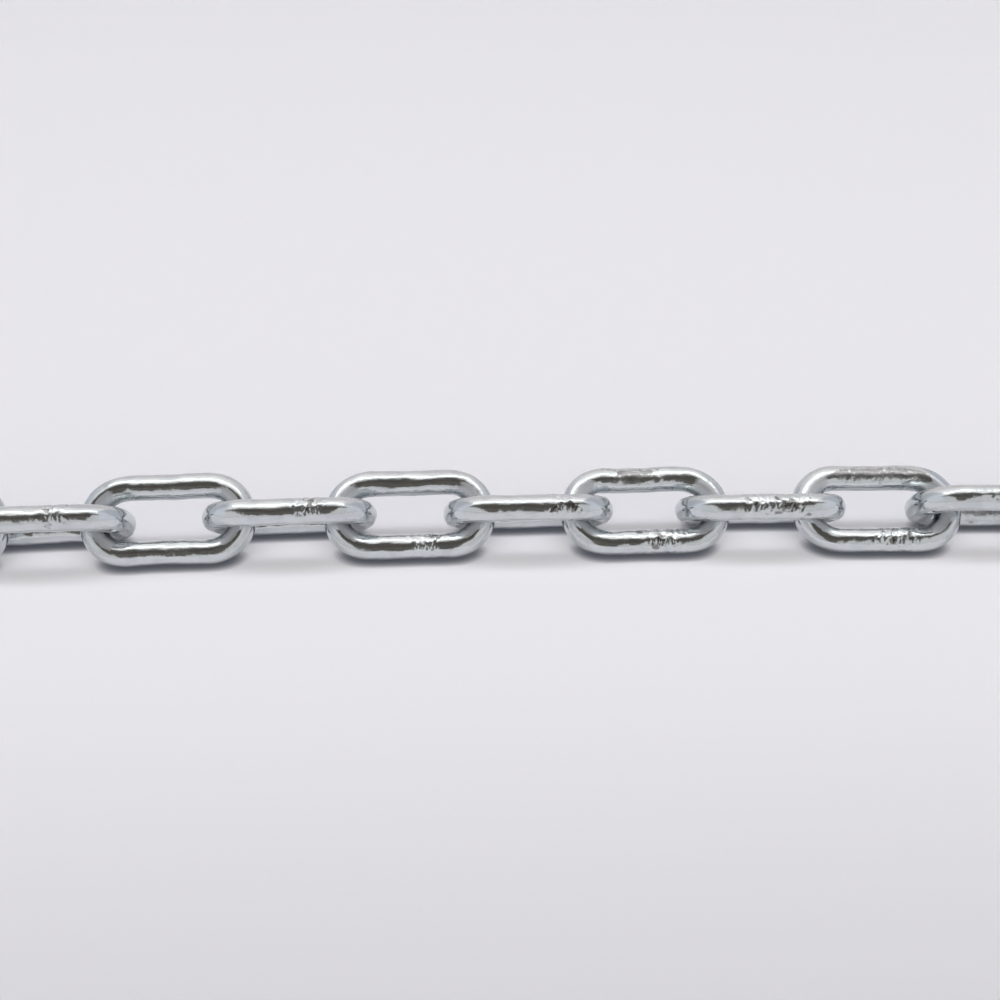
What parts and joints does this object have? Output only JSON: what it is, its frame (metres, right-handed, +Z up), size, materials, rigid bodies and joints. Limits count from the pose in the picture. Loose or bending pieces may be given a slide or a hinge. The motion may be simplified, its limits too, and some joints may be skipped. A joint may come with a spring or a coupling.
{
  "type": "welded steel chain",
  "caption": "Straight length of bright zinc-plated welded steel chain at rest on a floor, its oval links leaning to either side by turns; each link swings on the next.",
  "frame": {"origin": "floor level, under the middle of the chain's box", "axes": "+X along the chain, +Y across it away from the picture's camera, +Z up"},
  "size_m": [0.9892, 0.0212, 0.0171],
  "materials": {
    "zinc_plated_steel": "bright zinc plated, mirror-like, with small dents and rough weld beads"
  },
  "bodies": {
    "link_01": {"link_01": "zinc_plated_steel"},
    "link_02": {"link_02": "zinc_plated_steel"},
    "link_03": {"link_03": "zinc_plated_steel"},
    "link_04": {"link_04": "zinc_plated_steel"},
    "link_05": {"link_05": "zinc_plated_steel"},
    "link_06": {"link_06": "zinc_plated_steel"},
    "link_07": {"link_07": "zinc_plated_steel"},
    "link_08": {"link_08": "zinc_plated_steel"},
    "link_09": {"link_09": "zinc_plated_steel"},
    "link_10": {"link_10": "zinc_plated_steel"},
    "link_11": {"link_11": "zinc_plated_steel"},
    "link_12": {"link_12": "zinc_plated_steel"},
    "link_13": {"link_13": "zinc_plated_steel"},
    "link_14": {"link_14": "zinc_plated_steel"},
    "link_15": {"link_15": "zinc_plated_steel"},
    "link_16": {"link_16": "zinc_plated_steel"},
    "link_17": {"link_17": "zinc_plated_steel"},
    "link_18": {"link_18": "zinc_plated_steel"},
    "link_19": {"link_19": "zinc_plated_steel"},
    "link_20": {"link_20": "zinc_plated_steel"},
    "link_21": {"link_21": "zinc_plated_steel"},
    "link_22": {"link_22": "zinc_plated_steel"},
    "link_23": {"link_23": "zinc_plated_steel"},
    "link_24": {"link_24": "zinc_plated_steel"},
    "link_25": {"link_25": "zinc_plated_steel"},
    "link_26": {"link_26": "zinc_plated_steel"},
    "link_27": {"link_27": "zinc_plated_steel"},
    "link_28": {"link_28": "zinc_plated_steel"},
    "link_29": {"link_29": "zinc_plated_steel"},
    "link_30": {"link_30": "zinc_plated_steel"},
    "link_31": {"link_31": "zinc_plated_steel"},
    "link_32": {"link_32": "zinc_plated_steel"},
    "link_33": {"link_33": "zinc_plated_steel"},
    "link_34": {"link_34": "zinc_plated_steel"},
    "link_35": {"link_35": "zinc_plated_steel"},
    "link_36": {"link_36": "zinc_plated_steel"}
  },
  "joints": [
    {"name": "swing_19_20", "type": "hinge", "parent": "link_19", "child": "link_20", "pos_m": [0.03041, 0.00169, 0.00789], "axis": [0.0021, 0.6293, -0.7771], "range_deg": [-120, 120]},
    {"name": "swing_20_21", "type": "hinge", "parent": "link_20", "child": "link_21", "pos_m": [0.05747, 0.00161, 0.00769], "axis": [0.0122, 0.6155, 0.788], "range_deg": [-120, 120]},
    {"name": "swing_21_22", "type": "hinge", "parent": "link_21", "child": "link_22", "pos_m": [0.08443, 0.00105, 0.00758], "axis": [-0.0243, -0.6289, 0.7771], "range_deg": [-120, 120]},
    {"name": "swing_22_23", "type": "hinge", "parent": "link_22", "child": "link_23", "pos_m": [0.11148, -0.00008, 0.00769], "axis": [-0.029, -0.7426, -0.6691], "range_deg": [-120, 120]},
    {"name": "swing_23_24", "type": "hinge", "parent": "link_23", "child": "link_24", "pos_m": [0.13842, -0.00119, 0.00854], "axis": [0.0144, 0.707, -0.7071], "range_deg": [-120, 120]},
    {"name": "swing_24_25", "type": "hinge", "parent": "link_24", "child": "link_25", "pos_m": [0.16566, -0.00171, 0.00827], "axis": [0.0026, 0.7313, 0.682], "range_deg": [-120, 120]},
    {"name": "swing_25_26", "type": "hinge", "parent": "link_25", "child": "link_26", "pos_m": [0.19292, -0.00172, 0.00845], "axis": [0, -0.682, 0.7314], "range_deg": [-120, 120]},
    {"name": "swing_26_27", "type": "hinge", "parent": "link_26", "child": "link_27", "pos_m": [0.22008, -0.00169, 0.00808], "axis": [0.0022, -0.6561, -0.7547], "range_deg": [-120, 120]},
    {"name": "swing_27_28", "type": "hinge", "parent": "link_27", "child": "link_28", "pos_m": [0.24734, -0.00161, 0.00789], "axis": [-0.0131, 0.6559, -0.7547], "range_deg": [-120, 120]},
    {"name": "swing_28_29", "type": "hinge", "parent": "link_28", "child": "link_29", "pos_m": [0.2746, -0.00104, 0.00789], "axis": [-0.0244, 0.6288, 0.7771], "range_deg": [-120, 120]},
    {"name": "swing_29_30", "type": "hinge", "parent": "link_29", "child": "link_30", "pos_m": [0.30164, 0.00009, 0.00769], "axis": [0.024, -0.6152, 0.788], "range_deg": [-120, 120]},
    {"name": "swing_30_31", "type": "hinge", "parent": "link_30", "child": "link_31", "pos_m": [0.32858, 0.00119, 0.00758], "axis": [0.0128, -0.6292, -0.7771], "range_deg": [-120, 120]},
    {"name": "swing_31_32", "type": "hinge", "parent": "link_31", "child": "link_32", "pos_m": [0.35563, 0.00171, 0.00769], "axis": [-0.0027, 0.7431, -0.6691], "range_deg": [-120, 120]},
    {"name": "swing_32_33", "type": "hinge", "parent": "link_32", "child": "link_33", "pos_m": [0.38259, 0.00172, 0.00854], "axis": [0, 0.7071, 0.7071], "range_deg": [-120, 120]},
    {"name": "swing_33_34", "type": "hinge", "parent": "link_33", "child": "link_34", "pos_m": [0.40985, 0.00169, 0.00827], "axis": [-0.0024, -0.7313, 0.682], "range_deg": [-120, 120]},
    {"name": "swing_34_35", "type": "hinge", "parent": "link_34", "child": "link_35", "pos_m": [0.43711, 0.00161, 0.00845], "axis": [-0.0134, -0.6819, -0.7314], "range_deg": [-120, 120]},
    {"name": "swing_35_36", "type": "hinge", "parent": "link_35", "child": "link_36", "pos_m": [0.46427, 0.00105, 0.00808], "axis": [0.0254, 0.6556, -0.7547], "range_deg": [-120, 120]},
    {"name": "swing_18_19", "type": "hinge", "parent": "link_19", "child": "link_18", "pos_m": [-0.00319, 0.00169, 0.00789], "axis": [-0.0023, 0.6561, -0.7547], "range_deg": [-120, 120]},
    {"name": "swing_17_18", "type": "hinge", "parent": "link_18", "child": "link_17", "pos_m": [-0.03045, 0.00161, 0.00789], "axis": [-0.0138, 0.6819, 0.7314], "range_deg": [-120, 120]},
    {"name": "swing_16_17", "type": "hinge", "parent": "link_17", "child": "link_16", "pos_m": [-0.0577, 0.00103, 0.00808], "axis": [0.0284, -0.7308, 0.682], "range_deg": [-120, 120]},
    {"name": "swing_15_16", "type": "hinge", "parent": "link_16", "child": "link_15", "pos_m": [-0.08485, -0.00011, 0.00845], "axis": [0.0273, -0.7066, -0.7071], "range_deg": [-120, 120]},
    {"name": "swing_14_15", "type": "hinge", "parent": "link_15", "child": "link_14", "pos_m": [-0.11209, -0.00122, 0.00827], "axis": [-0.0146, 0.743, -0.6691], "range_deg": [-120, 120]},
    {"name": "swing_13_14", "type": "hinge", "parent": "link_14", "child": "link_13", "pos_m": [-0.13934, -0.00171, 0.00854], "axis": [-0.0021, 0.6293, 0.7771], "range_deg": [-120, 120]},
    {"name": "swing_12_13", "type": "hinge", "parent": "link_13", "child": "link_12", "pos_m": [-0.16629, -0.00172, 0.00769], "axis": [0, -0.6157, 0.788], "range_deg": [-120, 120]},
    {"name": "swing_11_12", "type": "hinge", "parent": "link_12", "child": "link_11", "pos_m": [-0.19335, -0.00169, 0.00758], "axis": [-0.0021, -0.6293, -0.7771], "range_deg": [-120, 120]},
    {"name": "swing_10_11", "type": "hinge", "parent": "link_11", "child": "link_10", "pos_m": [-0.22031, -0.00161, 0.00769], "axis": [0.0131, 0.6559, -0.7547], "range_deg": [-120, 120]},
    {"name": "swing_09_10", "type": "hinge", "parent": "link_10", "child": "link_09", "pos_m": [-0.24737, -0.00104, 0.00789], "axis": [0.0255, 0.6556, 0.7547], "range_deg": [-120, 120]},
    {"name": "swing_08_09", "type": "hinge", "parent": "link_09", "child": "link_08", "pos_m": [-0.27462, 0.0001, 0.00789], "axis": [-0.0264, -0.6815, 0.7314], "range_deg": [-120, 120]},
    {"name": "swing_07_08", "type": "hinge", "parent": "link_08", "child": "link_07", "pos_m": [-0.30186, 0.00121, 0.00808], "axis": [-0.0146, -0.7312, -0.682], "range_deg": [-120, 120]},
    {"name": "swing_06_07", "type": "hinge", "parent": "link_07", "child": "link_06", "pos_m": [-0.329, 0.00171, 0.00845], "axis": [0.0024, 0.7071, -0.7071], "range_deg": [-120, 120]},
    {"name": "swing_05_06", "type": "hinge", "parent": "link_06", "child": "link_05", "pos_m": [-0.35626, 0.00172, 0.00827], "axis": [0, 0.7431, 0.6691], "range_deg": [-120, 120]},
    {"name": "swing_04_05", "type": "hinge", "parent": "link_05", "child": "link_04", "pos_m": [-0.38352, 0.00169, 0.00854], "axis": [0.0022, -0.6293, 0.7771], "range_deg": [-120, 120]},
    {"name": "swing_03_04", "type": "hinge", "parent": "link_04", "child": "link_03", "pos_m": [-0.41048, 0.00161, 0.00769], "axis": [0.0124, -0.6155, -0.788], "range_deg": [-120, 120]},
    {"name": "swing_02_03", "type": "hinge", "parent": "link_03", "child": "link_02", "pos_m": [-0.43754, 0.00104, 0.00758], "axis": [-0.0244, 0.6288, -0.7771], "range_deg": [-120, 120]},
    {"name": "swing_01_02", "type": "hinge", "parent": "link_02", "child": "link_01", "pos_m": [-0.46448, -0.00009, 0.00769], "axis": [-0.0255, 0.6556, 0.7547], "range_deg": [-120, 120]}
  ]
}
